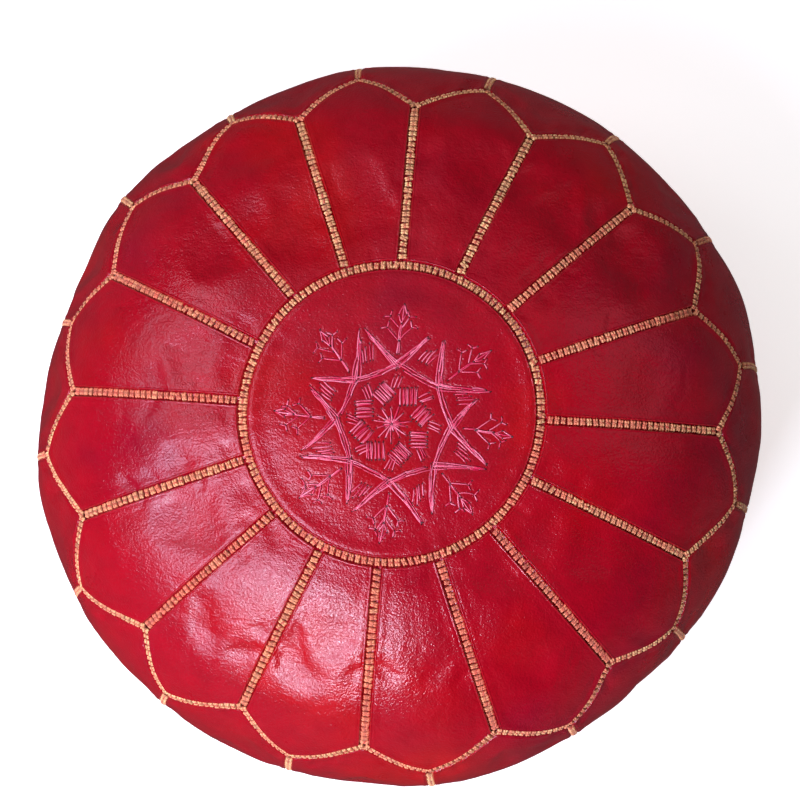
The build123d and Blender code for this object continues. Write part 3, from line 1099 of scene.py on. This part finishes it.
def base_mesh(side, material, name):
    """Half of the base, with the hollow over the zip and small wrinkles."""
    columns, rows = 260, 90
    turn = np.linspace(0, 1, columns)
    across = -np.cos(math.pi * turn) * (BASE_RADIUS - 0.2 * MM)
    inner = SEAM_GAP + (SLOT_HALF_WIDTH - SEAM_GAP) * smoothstep(
        SLOT_HALF_LENGTH + 3 * MM, SLOT_HALF_LENGTH - 1 * MM, np.abs(across))
    outer = np.sqrt(np.maximum(BASE_RADIUS ** 2 - across ** 2, (1.2 * MM) ** 2))
    outer = np.maximum(outer, inner + 0.5 * MM)
    ahead = inner + (outer - inner) * np.linspace(0, 1, rows)[:, None] ** 1.25
    wide = np.broadcast_to(across, ahead.shape)
    height = recess_lift(wide, ahead)
    wrinkle = -creases(wide, ahead * side, 77 + side) * 0.8
    swell = stacked(wide, ahead * side, 0.0) / (40 * MM)
    wrinkle = wrinkle + 0.25 * MM * (1 + noise(swell, 12))
    rim = np.hypot(wide, ahead)
    tucked = smoothstep(BASE_RADIUS - 5 * MM, BASE_RADIUS, rim) * 0.5 * MM
    height = height + wrinkle * smoothstep(0, 4 * MM, BASE_RADIUS - rim) + tucked
    lower = stacked(wide, ahead * side, height)
    down = np.broadcast_to([0.0, 0.0, -1.0], lower.shape)
    if side > 0:
        lower = lower[:, ::-1]
    return leather_sheet(name, lower, down, material)


def ring_piece(name, radius, centre_height, half_width, half_height, material):
    """The rolled leather piping round the base."""
    turns = np.linspace(0, math.tau, 720, endpoint=False)
    around = np.linspace(0, math.tau, 12, endpoint=False)
    turn, roll = np.meshgrid(turns, around, indexing="ij")
    pinch = 1 - 0.16 * np.cos(turn * 170) ** 6
    out = radius + half_width * np.cos(roll) * pinch
    points = stacked(out * np.cos(turn), out * np.sin(turn),
                     centre_height + half_height * np.sin(roll) * pinch)
    faces = grid_faces(len(turns) + 1, len(around), wrap=True) % turn.size
    return make_mesh(name, points.reshape(-1, 3), faces[:, ::-1], material)


def stitch_row(name, start, end, height, material, pitch=3.6 * MM):
    """A straight row of small stitches on the underside."""
    start, end = np.array(start), np.array(end)
    count = int(np.linalg.norm(end - start) / pitch)
    share = np.linspace(0, 1, 7)
    side = np.cross([*unit(end - start), 0], [0, 0, 1])
    sag = height - 0.35 * MM * (4 * share * (1 - share)) ** 0.5 + 0.15 * MM
    parts = []
    for number in range(count):
        first, last = (start + (end - start) * (number + part) / count for part in (0.12, 0.88))
        flat = first + share[:, None] * (last - first)
        points, quads = tube(stacked(*flat.T, sag), np.full(7, 0.32 * MM), side,
                             np.array([0, 0, 1]))
        parts.append((points, quads, np.broadcast_to([0.42, 0.03, 0.04], points.shape)))
    return joined_mesh(name, parts, material)


INNER_FLOOR = 15.6 * MM


def inner_skin(depth, floor, rows=70, columns=96):
    """Grid of a closed bag inside the cover, flat at the floor height."""
    along = np.linspace(2 * MM, RIM_LENGTH, rows)
    turn = np.linspace(0, math.tau, columns, endpoint=False)
    points, _ = place(along[:, None], turn[None, :], -depth)
    points[..., 2] = np.maximum(points[..., 2], floor)
    centre = np.array([0, 0, floor])
    bottom = centre + (points[-1:] - centre) * np.linspace(0.95, 0.02, 16)[:, None, None]
    bottom[..., 2] = floor
    return np.concatenate([points, bottom])


def bag_mesh(name, layers, material):
    """Closed bags of one piece; a second layer faces inwards, as a lining's inner face."""
    verts, faces, caps, offset = [], [], [], 0
    for number, grid in enumerate(layers):
        rows, columns = grid.shape[:2]
        flip = -1 if number % 2 == 0 else 1
        faces.append(grid_faces(rows, columns, wrap=True)[:, ::flip] + offset)
        verts += [grid.reshape(-1, 3), grid[:1].mean(1), grid[-1:].mean(1)]
        ring = np.arange(columns) + offset
        hub = rows * columns + offset
        foot_ring = ring + (rows - 1) * columns
        caps += [fan_faces(ring, hub)[:, ::-flip],
                 fan_faces(foot_ring, hub + 1)[:, [1, 0, 2]][:, ::-flip]]
        offset += rows * columns + 2
    return make_mesh(name, np.concatenate(verts), np.concatenate(faces), material,
                     triangles=np.concatenate(caps))


# ---- building
red_leather = leather_material("red_leather", (0.26, 0.0, 0.014), (0.335, 0.0, 0.009),
                               (0.39, 0.0, 0.004), 0.30, 0.62)
base_leather = leather_material("base_leather", (0.14, 0.002, 0.008), (0.21, 0.003, 0.010),
                                (0.28, 0.004, 0.010), 0.52, 0.1)
braid_thread = thread_material("gold_braid", 0.5, 0.25, 0.5)
silk_thread = thread_material("pink_silk", 0.25, 0.12, 0.7)
cotton = cloth_material("cotton", (0.78, 0.74, 0.66), 900)
wadding = cloth_material("stuffing", (0.86, 0.84, 0.80), 260)
tape_cloth = cloth_material("zip_tape", (0.16, 0.012, 0.016), 1300, 0.8)
zip_brass = brass_material()


# Rows and columns of each kind of panel between its seams, and the CAD nodes it stands for.
FINE_GRIDS = {"petal": (78, 46, "top_petal"), "side": (120, 44, "side_panel")}


def build_leather(strokes):
    fields = {kind: stuffed_fields(**facts) for kind, facts in PANEL_KINDS.items()}
    for index in range(PETALS):
        for kind, (rows, columns, node) in FINE_GRIDS.items():
            number = f"{index + 1:02d}"
            panel = panel_mesh(kind, index, fields[kind][index], rows, columns, red_leather,
                               f"{kind}_leather_{number}")
            finish_piece(panel, "red_leather", f"{node}_{number}")
    medallion = medallion_mesh(red_leather, strokes)
    finish_piece(medallion, "red_leather", "top_medallion")


def build_embroidery(groups):
    for number, (group, strokes) in enumerate(groups.items()):
        piece = stitch_tubes(f"embroidery_{group}", strokes, silk_thread, 200 + number)
        finish_piece(piece, "pink_silk", "medallion_embroidery")


def build_base():
    for side, word in ((-1, "front"), (1, "rear")):
        panel = base_mesh(side, base_leather, f"base_leather_{word}")
        finish_piece(panel, "base_leather", f"base_panel_{word}")
        ahead = side * (SLOT_HALF_WIDTH + 2.2 * MM)
        row = stitch_row(f"zip_stitching_{word}", (-SLOT_HALF_LENGTH + 4 * MM, ahead),
                         (SLOT_HALF_LENGTH - 4 * MM, ahead), RECESS_HEIGHT, silk_thread)
        finish_piece(row, "base_leather")
    seam_low, seam_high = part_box("base_ring_seam")
    piping = ring_piece("base_piping", seam_high.x - 1.5 * MM,
                        (seam_low.z + seam_high.z) / 2, 1.4 * MM, 0.9 * MM, base_leather)
    finish_piece(piping, "base_leather", "base_ring_seam")


def build_inside():
    lining = bag_mesh("cotton_lining_bag", [inner_skin(7.0 * MM, INNER_FLOOR),
                                            inner_skin(7.8 * MM, INNER_FLOOR + 0.8 * MM)], cotton)
    finish_piece(lining, "cotton", "cotton_lining")
    filling = bag_mesh("cotton_wadding", [inner_skin(8.6 * MM, INNER_FLOOR + 1.6 * MM)], wadding)
    finish_piece(filling, "stuffing", "cotton_stuffing")


def dress_zip():
    for name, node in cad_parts.items():
        if name.startswith("zip_"):
            material = tape_cloth if "tape" in name else zip_brass
            node.data.materials.clear()
            node.data.materials.append(material)


motif = motif_strokes()
every_stroke = [stroke for strokes in motif.values() for stroke in strokes]
build_leather(every_stroke)
make_braids(braid_thread)
build_embroidery(motif)
build_base()
build_inside()
dress_zip()

# ---- camera and lights
IMAGE_ROLL = math.radians(4.5)
IMAGE_UP = Vector((-math.sin(IMAGE_ROLL), math.cos(IMAGE_ROLL), 0))
IMAGE_RIGHT = Vector((math.cos(IMAGE_ROLL), math.sin(IMAGE_ROLL), 0))
CAMERA_DISTANCE = 2.0
CAMERA_TILT = math.radians(4.4)
VIEW_WIDTH = 0.598
AIM_UP = 0.0195


def make_camera():
    data = bpy.data.cameras.new("camera")
    data.sensor_width = 36
    data.lens = 36 * CAMERA_DISTANCE / VIEW_WIDTH
    camera = bpy.data.objects.new("camera", data)
    bpy.context.scene.collection.objects.link(camera)
    lean = (IMAGE_RIGHT * 0.47 - IMAGE_UP * 0.88) * math.sin(CAMERA_TILT)
    back = (lean + Vector((0, 0, math.cos(CAMERA_TILT)))).normalized()
    right = IMAGE_UP.cross(back).normalized()
    up = back.cross(right)
    aim = Vector((0, 0, BELLY_HEIGHT)) + up * AIM_UP
    camera.location = aim + back * CAMERA_DISTANCE
    camera.matrix_world = Matrix([[right[i], up[i], back[i], camera.location[i]]
                                  for i in range(3)] + [[0, 0, 0, 1]])
    data.clip_end = 50
    bpy.context.scene.camera = camera


UP = Vector((0, 0, 1))
# Each soft box: direction from the pouf, distance, width, watts, colour, whether it shines
# in the leather.
SOFT_BOXES = {
    "key": (-IMAGE_RIGHT * 0.62 - IMAGE_UP * 0.50 + UP * 0.95, 1.9, 1.0, 31,
            (0.84, 0.77, 1.0), True),
    "lamp": (-IMAGE_RIGHT * 0.26 - IMAGE_UP * 0.66 + UP * 0.73, 1.9, 0.30, 18,
             (0.80, 0.86, 1.0), True),
    "window": (-IMAGE_RIGHT * 0.85 + IMAGE_UP * 0.35 + UP * 0.85, 2.1, 0.8, 8,
               (0.88, 0.85, 1.0), True),
    "fill": (IMAGE_RIGHT * 0.75 + IMAGE_UP * 0.25 + UP * 0.8, 2.6, 1.6, 3.5,
             (1.0, 0.93, 0.95), True),
    "over": (UP - IMAGE_RIGHT * 0.25 + IMAGE_UP * 0.5, 2.6, 2.2, 23, (1.0, 0.93, 0.92), False),
    "front": (-IMAGE_UP * 0.95 - IMAGE_RIGHT * 0.25 + UP * 0.12, 2.2, 1.2, 11,
              (1.0, 0.93, 0.92), False)}


def make_lights():
    """Square soft boxes that look at the pouf, in a dim white room."""
    for name, (direction, distance, width, power, colour, glossy) in SOFT_BOXES.items():
        data = bpy.data.lights.new(name, "AREA")
        data.shape = "SQUARE"
        data.size = width
        data.energy = power
        data.color = colour
        light = bpy.data.objects.new(name, data)
        bpy.context.scene.collection.objects.link(light)
        light.location = Vector((0, 0, BELLY_HEIGHT)) + direction.normalized() * distance
        light.rotation_mode = "QUATERNION"
        light.rotation_quaternion = direction.to_track_quat("Z", "Y")
        light.visible_glossy = glossy
    world = bpy.data.worlds.new("studio")
    world.use_nodes = True
    set_inputs(world.node_tree, world.node_tree.nodes["Background"],
               {"Color": (1, 1, 1, 1), "Strength": 0.05})
    bpy.context.scene.world = world


def make_floor():
    size = 6.0
    corners = [(-size, -size, 0), (size, -size, 0), (size, size, 0), (-size, size, 0)]
    material, tree, shader, where = node_tree("floor")
    set_inputs(tree, shader, {"Base Color": (0.90, 0.90, 0.90, 1), "Roughness": 0.8,
                              "Emission Color": (1, 1, 1, 1), "Emission Strength": 0.6})
    floor = make_mesh("floor", corners, [[0, 1, 2, 3]], material, smooth=False)
    floor.visible_glossy = False


make_camera()
make_lights()
make_floor()
bpy.context.scene.view_settings.view_transform = "Standard"
